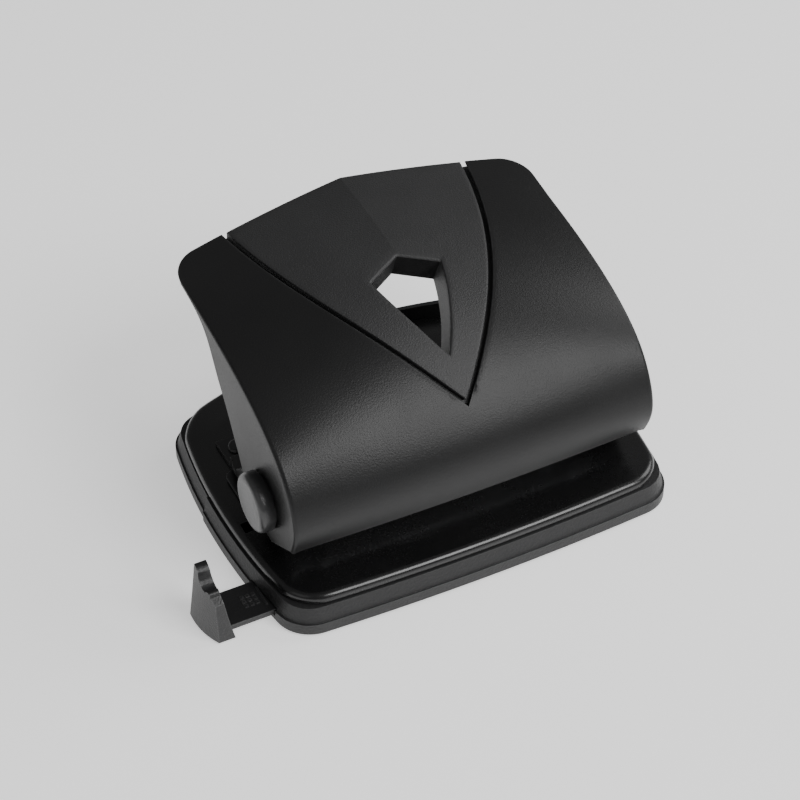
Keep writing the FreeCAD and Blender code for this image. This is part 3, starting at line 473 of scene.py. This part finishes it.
def smooth_line(stations, s):
    """The point s of the way along a smooth curve through the stations."""
    stations = np.array(stations)
    t = s * LAST
    j = min(max(int(t), 0), LAST - 1)
    r = t - j
    bend = CURVING @ stations
    at = (1 - r) * stations[j] + r * stations[j + 1]
    return at + ((r ** 3 - r) * bend[j + 1] + ((1 - r) ** 3 - (1 - r)) * bend[j]) / 6


def cover_point(x, s):
    """The pressed cover's outer face at x, s of the way from its rear edge to its lower front edge."""
    u = min(abs(x) / HALF_COVER, 1.0)
    stations = []
    for i, (end, mid) in enumerate(zip(END_LINE, MID_LINE)):
        crease = CREASE * max(0.0, 1 - i / LAST / CREASE_END)
        crown = 1 - (crease * u + (1 - crease) * u * u)
        stations.append([end[0] + (mid[0] - end[0]) * crown, end[1] + (mid[1] - end[1]) * crown])
    return Vector((x, *smooth_line(stations, s)))


def cover_frame(x, s):
    """The face's point, its direction down the cover and its direction square into the sheet."""
    at = cover_point(x, s)
    down = (cover_point(x, s + 0.003) - cover_point(x, s - 0.003)).normalized()
    return at, down, Vector((0, -down.z, down.y))


TILT = math.radians(25)


def along(point):
    """Distance along the tilted plane that the V and the window are cut square to."""
    return point.y * math.cos(TILT) + point.z * math.sin(TILT)


VEE_TIP = -3.2
VEE_MIDDLE, VEE_MIDDLE_HALF = 34.0, 24.3
VEE_TOP, VEE_TOP_HALF = 83.2, 38.6


def vee(distance, grow):
    """Half width of the V at a distance along the tilted plane, let out by `grow`."""
    tip = VEE_TIP - 1.25 * grow
    middle, top = VEE_MIDDLE - tip, VEE_TOP - tip
    slope_middle = (VEE_MIDDLE_HALF + 0.9 * grow) / middle
    bow = ((VEE_TOP_HALF + grow) / top - slope_middle) / (top - middle)
    reach = max(distance - tip, 0.0)
    return (slope_middle - bow * middle) * reach + bow * reach * reach


def vee_edge(s, grow):
    """Half width of the V, let out by `grow`, where it crosses the cover s of the way down."""
    x = VEE_MIDDLE_HALF
    for _ in range(40):
        x = 0.5 * x + 0.5 * vee(along(cover_point(x, s)), grow)
    return x


def station_at(x, distance):
    """How far down the cover a point at x lies whose distance along the tilted plane is given."""
    high, low = -0.1, 1.0
    for _ in range(26):
        s = (high + low) / 2
        if along(cover_point(x, s)) > distance:
            high = s
        else:
            low = s
    return s


GROOVE = 1.6
TIP = station_at(0.0, VEE_TIP - 1.25 * GROOVE)
CORNER, BEND = 7.5, 1.1
COVER_LENGTH = 156
EDGE_ROLL = 0.35
EDGE_COLUMNS = 3
UPPER_ROWS, LOWER_ROWS = 56, 30
BAND_LINE, BAND_STEP = 0.987, 0.35
BAND_SHARES = (0.12, 0.55, 1.0)
FACE_COLUMNS, CORNER_COLUMNS, BEND_COLUMNS, FLANGE_COLUMNS = 24, 10, 5, 12
REAR_OF_FLANGE = ((36.0, 66.5), (21.4, 62.4), (13.6, 52.0), (8.0, 44.2),
                  (3.0, 36.0), (-1.6, 28.0), (-7.4, 19.4), (-20.1, 15.95))


def flange_rear(b):
    """The flange's free edge, beside the row b of the cover."""
    return Vector((HALF_COVER, *smooth_line(REAR_OF_FLANGE, b)))


ROW_EDGE = [vee_edge(TIP * v / UPPER_ROWS, GROOVE) if v < UPPER_ROWS else 0.0
            for v in range(UPPER_ROWS + LOWER_ROWS + len(BAND_SHARES) + 1)]


def row_share(v):
    """How far down the cover row v lies: even to the V's tip, even on to the set-back band."""
    if v <= UPPER_ROWS:
        return TIP * v / UPPER_ROWS
    if v <= UPPER_ROWS + LOWER_ROWS:
        return TIP + (BAND_LINE - TIP) * (v - UPPER_ROWS) / LOWER_ROWS
    return BAND_LINE + (1 - BAND_LINE) * BAND_SHARES[v - UPPER_ROWS - LOWER_ROWS - 1]


def on_cover(u, v):
    """Half the cover: columns run from the V, or the middle, out to the flange's free edge."""
    b = row_share(v)
    flat_end = HALF_COVER - CORNER
    bend = BEND * min(0.05 + b / 0.08, 1.0)
    rolled = 0.0
    if u <= FACE_COLUMNS:
        x, drop = ROW_EDGE[v] + (flat_end - ROW_EDGE[v]) * u / FACE_COLUMNS, 0.0
        share = min(max(UPPER_ROWS - v, 0) / 4, 1.0)
        turn = math.pi / 2 * min(u, EDGE_COLUMNS) / EDGE_COLUMNS
        roll_x = ROW_EDGE[v] + EDGE_ROLL * (1 - math.cos(turn))
        if u > EDGE_COLUMNS:
            roll_x += (flat_end - roll_x) * (u - EDGE_COLUMNS) / (FACE_COLUMNS - EDGE_COLUMNS)
        x += (roll_x - x) * share
        rolled = EDGE_ROLL * (1 - math.sin(turn)) * share
    else:
        turn = math.pi / 2 * min(u - FACE_COLUMNS, CORNER_COLUMNS) / CORNER_COLUMNS
        x, drop = flat_end + (CORNER - bend) * math.sin(turn), CORNER * (1 - math.cos(turn))
    start = drop / COVER_LENGTH
    s = start + b * (1 - start)
    at, down, inward = cover_frame(x, min(s, 1.0))
    at = at + inward * rolled
    if v > UPPER_ROWS + LOWER_ROWS:
        at = at + inward * BAND_STEP * min(max(FACE_COLUMNS + CORNER_COLUMNS - u, 0) / 6, 1.0)
    beyond = u - FACE_COLUMNS - CORNER_COLUMNS
    if beyond > 0:
        turn = math.pi / 2 * min(beyond, BEND_COLUMNS) / BEND_COLUMNS
        at = at + Vector((bend * math.sin(turn), 0, 0)) + inward * bend * (1 - math.cos(turn))
    if beyond > BEND_COLUMNS:
        share = (beyond - BEND_COLUMNS) / FLANGE_COLUMNS
        at = at.lerp(flange_rear(b), share)
        at.x = HALF_COVER
    return at


cover_form = formed_sheet(FACE_COLUMNS + CORNER_COLUMNS + BEND_COLUMNS + FLANGE_COLUMNS,
                          UPPER_ROWS + LOWER_ROWS + len(BAND_SHARES), on_cover)


def both_sides(form, outside):
    """Mirrors a half form to the other side, joins it at the middle and turns its faces outward."""
    bmesh.ops.mirror(form, geom=form.verts[:] + form.edges[:] + form.faces[:], axis="X", merge_dist=2e-6)
    bmesh.ops.remove_doubles(form, verts=form.verts[:], dist=2e-6)
    bmesh.ops.recalc_face_normals(form, faces=form.faces[:])
    nearest = min(form.faces, key=lambda face: (face.calc_center_median() - Vector(outside)).length)
    if nearest.normal.dot(Vector(outside) - nearest.calc_center_median()) < 0:
        bmesh.ops.reverse_faces(form, faces=form.faces[:])


both_sides(cover_form, (0.03, -0.05, 0.09))
SATIN = painted("satin black powder paint", (0.012, 0.012, 0.0122), 0.38, 0.0005, 0.00006, specular=0.3)
cover = thick(finished(cover_form, "handle_cover_pressing", SATIN), SHEET)
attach(cover, "handle")
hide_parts("handle_cover")


# ---- V-shaped insert and its studs ------------------------------------------------------------------
# A grained ABS moulding fills the cover's V. It has a crease down its middle, a five-sided window with
# deep drafted walls, and a lip under the steel, held by push-on nuts on four weld studs.

SIDE_COLUMNS, TOP_COLUMNS = 44, 16
WINDOW_TIP, WINDOW_MIDDLE, SHOULDER, WINDOW_PEAK = 9.3, 23.5, 37.2, 43.0
MIDDLE_HALF, SHOULDER_HALF = 6.5, 10.8
DRAFT, WALL_FOOT, WALL_TOP = 0.6, 10.0, 0.6
CHAMFER, FACE_EDGE, LIP_DEPTH = 0.8, 0.4, 2.3
INSERT_TOP = vee_edge(0.0, 0.0)


def window_side(distance):
    """Half width of the window's bowed sides, from 0 at its lower point to the shoulder."""
    tip, middle = WINDOW_TIP, WINDOW_MIDDLE
    by_middle = (distance - tip) * (distance - SHOULDER) / ((middle - tip) * (middle - SHOULDER))
    by_shoulder = (distance - tip) * (distance - middle) / ((SHOULDER - tip) * (SHOULDER - middle))
    return MIDDLE_HALF * by_middle + SHOULDER_HALF * by_shoulder


def insert_rings():
    """From the bottom of the window's wall out over the face to the lip: (from which outline, out, depth)."""
    wall = [("in", DRAFT * (1 - share), WALL_FOOT + (WALL_TOP - WALL_FOOT) * share)
            for share in np.linspace(0, 1, 8)]
    chamfer = [("in", 0.1, 0.42), ("in", 0.42, 0.1), ("in", CHAMFER, 0.0)]
    face = [("face", share, 0.0) for share in np.linspace(0, 1, 16)[1:-1]]
    edge = [("out", -FACE_EDGE, 0.0), ("out", -0.12, 0.1), ("out", 0.0, 0.35), ("out", 0.0, LIP_DEPTH)]
    return wall + chamfer + face + edge + [("lip", 2.4, LIP_DEPTH), ("lip", 4.6, LIP_DEPTH)]


RINGS = insert_rings()


def on_insert(u, v):
    """Half the insert: columns run along the rear edge, then down the V's side; rows are the rings."""
    if u <= TOP_COLUMNS:
        share = u / TOP_COLUMNS
        inner = Vector((SHOULDER_HALF * share, WINDOW_PEAK + (SHOULDER - WINDOW_PEAK) * share))
        outer_x = INSERT_TOP * share
        outer = Vector((outer_x, along(cover_point(outer_x, 0.0))))
    else:
        share = (u - TOP_COLUMNS) / SIDE_COLUMNS
        low = SHOULDER + (WINDOW_TIP - SHOULDER) * share
        inner = Vector((window_side(low) if share < 1 else 0.0, low))
        top = along(cover_point(INSERT_TOP, 0.0))
        reach = top + (VEE_TIP - top) * share
        outer = Vector((vee(reach, 0.0), reach))
    direction = (outer - inner).normalized()
    kind, out, depth = RINGS[v]
    if kind == "in":
        spot = inner + direction * (out if depth < WALL_TOP else -out)
    elif kind == "face":
        spot = (inner + direction * CHAMFER).lerp(outer - direction * FACE_EDGE, out)
    elif kind == "lip":
        if u < TOP_COLUMNS:
            return None
        down_side = (u - TOP_COLUMNS) / SIDE_COLUMNS
        spot = outer + Vector((1, 0)).lerp(direction, down_side).normalized() * out
    else:
        spot = outer + direction * out
    if u in (0, TOP_COLUMNS + SIDE_COLUMNS):
        spot.x = 0.0
    at, down, inward = cover_frame(spot.x, station_at(spot.x, spot.y))
    if kind == "in" and depth >= WALL_TOP:
        inward = Vector((0, math.sin(TILT), -math.cos(TILT)))
    return at + inward * depth


insert_form = formed_sheet(TOP_COLUMNS + SIDE_COLUMNS, len(RINGS) - 1, on_insert)
both_sides(insert_form, (0.02, 0.02, 0.12))
CREASE_FOOT, INSERT_WALL = 0.014, 0.0014
for edge in insert_form.edges:
    on_middle = all(abs(corner.co.x) < 1e-6 for corner in edge.verts)
    edge.smooth = not (on_middle and min(corner.co.y for corner in edge.verts) > CREASE_FOOT)
GRAINED = moulded("grained dark grey ABS", (0.028, 0.028, 0.0285), (0.14, 0.14, 0.142), 0.5,
                  0.00036, 0.00016, 0.45)
insert = thick(finished(insert_form, "cover_insert_moulding", GRAINED), INSERT_WALL,
               edge=0.0001, segments=1, angle=70)
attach(insert, "handle")
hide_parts("cover_insert")
refinished("insert_clips", ZINC)


# ---- Pivot caps -------------------------------------------------------------------------------------
# Two moulded ABS buttons pressed on the shaft's ends hide the pivot: satin dark grey, a rolled rim, a
# shallow dished face and a narrow step against the flange.

CAP_GREY = moulded("satin dark grey cap plastic", (0.05, 0.05, 0.051), (0.2, 0.2, 0.202), 0.3,
                   0.0006, 0.00005)
PIVOT_Y, PIVOT_Z, CAP_RADIUS = -17.0, 29.7, 8.7
RIM_START, RIM_WIDE, RIM_DEEP = 3.3, 1.65, 1.8
CAP_SECTION = [(0.0, 0.0), (0.0, 7.6), (0.55, 7.7), (0.6, 8.5), (0.9, CAP_RADIUS), (RIM_START, CAP_RADIUS)]
CAP_SECTION += [(RIM_START + RIM_WIDE * math.sin(turn), CAP_RADIUS - RIM_DEEP * (1 - math.cos(turn)))
                for turn in np.linspace(0.25, math.pi / 2, 7)]
CAP_SECTION += [(4.92, 6.4), (4.78, 5.6), (4.74, 3.0), (4.74, 0.0)]
for side, name in ((1, "right"), (-1, "left")):
    cap_form = bmesh.new()
    corners = [cap_form.verts.new(Vector((side * (HALF_COVER + out), PIVOT_Y, PIVOT_Z + radius)) * MM)
               for out, radius in CAP_SECTION]
    for first, second in zip(corners, corners[1:]):
        cap_form.edges.new((first, second))
    bmesh.ops.spin(cap_form, geom=cap_form.verts[:] + cap_form.edges[:], angle=2 * math.pi, steps=72,
                   cent=Vector((0, PIVOT_Y, PIVOT_Z)) * MM, axis=(1, 0, 0), use_merge=True)
    bmesh.ops.remove_doubles(cap_form, verts=cap_form.verts[:], dist=1e-6)
    bmesh.ops.recalc_face_normals(cap_form, faces=cap_form.faces[:])
    cap = finished(cap_form, "pivot_cap_button_" + name, CAP_GREY, 50)
    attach(cap, "handle")
    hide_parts("pivot_cap_" + name)


# ---- Studio -----------------------------------------------------------------------------------------
# A plain pale floor, a dim even surround, three large soft lights and the camera.

floor_form = bmesh.new()
bmesh.ops.create_grid(floor_form, x_segments=1, y_segments=1, size=6.0)
floor_paper = Finish("pale studio floor", specular=0.35)
paper_tint = floor_paper.blend(floor_paper.noise(0.4, 2.0), (0.86, 0.86, 0.86, 1), (0.88, 0.88, 0.88, 1))
floor_paper.surface(paper_tint, 0.2)
floor_paper.shader.inputs["Emission Color"].default_value = (1, 1, 1, 1)
floor_paper.shader.inputs["Emission Strength"].default_value = 0.72
floor = finished(floor_form, "studio_floor", floor_paper.material)

world = bpy.data.worlds.new("studio surround")
bpy.context.scene.world = world
world.use_nodes = True
world.node_tree.nodes["Background"].inputs["Color"].default_value = (1.0, 1.0, 1.0, 1)
world.node_tree.nodes["Background"].inputs["Strength"].default_value = 0.18
for name, place, aim, size, power in (("front softbox", (0.50, -0.95, 1.02), (0, 0, 0.03), 0.75, 15.0),
                                      ("left softbox", (-1.05, -0.45, 0.95), (0, 0, 0.03), 0.8, 0.9),
                                      ("right softbox", (1.2, 0.0, 0.9), (0, 0, 0.03), 0.8, 8.0)):
    lamp = bpy.data.lights.new(name, "AREA")
    lamp.shape = "SQUARE"
    lamp.size = size
    lamp.energy = power
    lamp_object = bpy.data.objects.new(name, lamp)
    lamp_object.location = place
    lamp_object.rotation_euler = (Vector(aim) - Vector(place)).to_track_quat("-Z", "Y").to_euler()
    bpy.context.scene.collection.objects.link(lamp_object)

lens = bpy.data.cameras.new("studio camera")
lens.lens = 104.4
lens.sensor_width = 36.0
camera = bpy.data.objects.new("studio camera", lens)
camera.location = (-0.2277, -0.4375, 0.4706)
view = Vector((-0.002152, 0.007562, 0.024525)) - camera.location
camera.rotation_euler = view.to_track_quat("-Z", "Y").to_euler()
bpy.context.scene.collection.objects.link(camera)
bpy.context.scene.camera = camera
